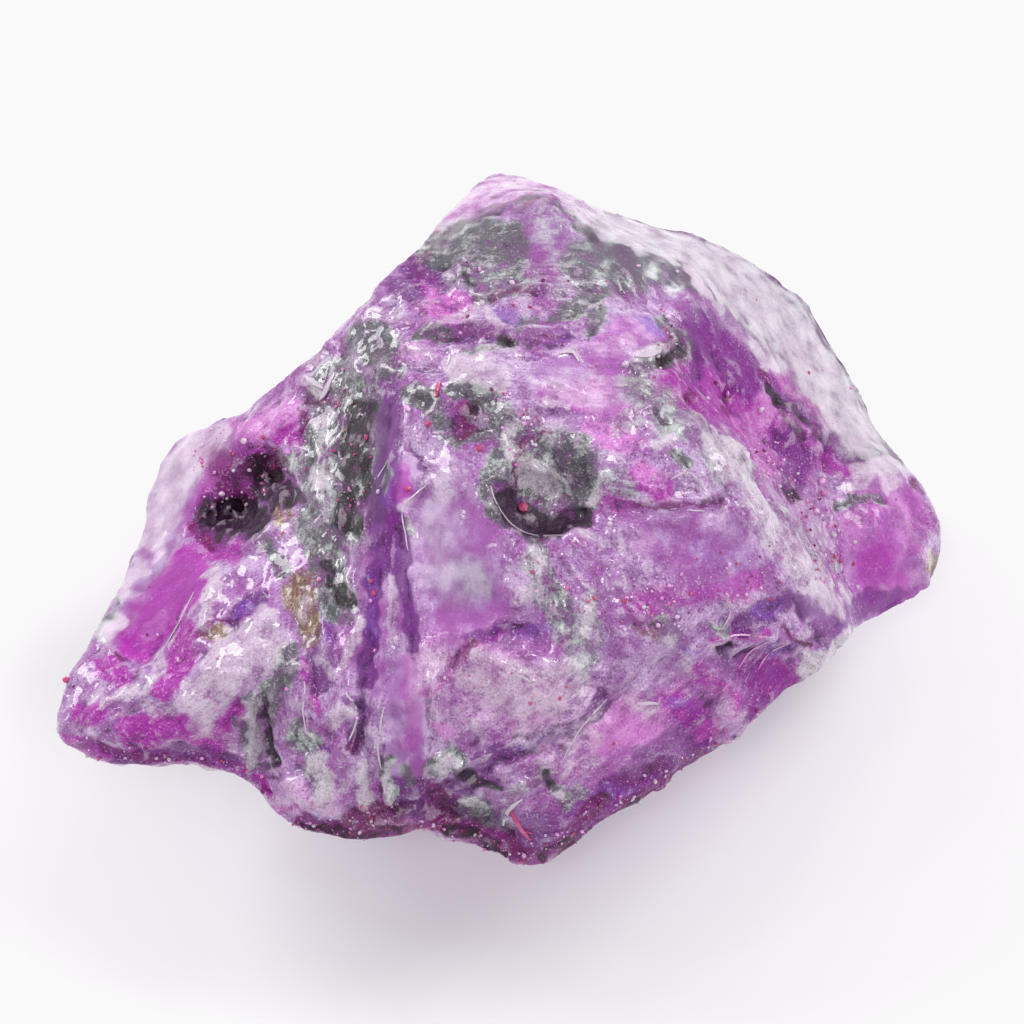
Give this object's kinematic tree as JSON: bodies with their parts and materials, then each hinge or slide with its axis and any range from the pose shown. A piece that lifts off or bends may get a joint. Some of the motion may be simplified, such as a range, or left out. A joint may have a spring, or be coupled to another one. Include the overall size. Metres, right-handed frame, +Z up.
{
  "type": "rough sapphire",
  "caption": "Rough, unpolished purple mineral lump with broken faces, a sharp crest, a round pit, waxy ribs and grey veins, resting on a small flat underside.",
  "frame": {"origin": "middle of the stone's box, on the surface that the stone rests on", "axes": "+X along the stone's length, to the right of someone who faces the side with the round pit; +Z up"},
  "size_m": [0.0363, 0.0289, 0.0191],
  "materials": {
    "stone": "waxy, broken, magenta to lavender with grey-green veins"
  },
  "bodies": {
    "root": {"rough_sapphire": "stone"}
  },
  "joints": []
}
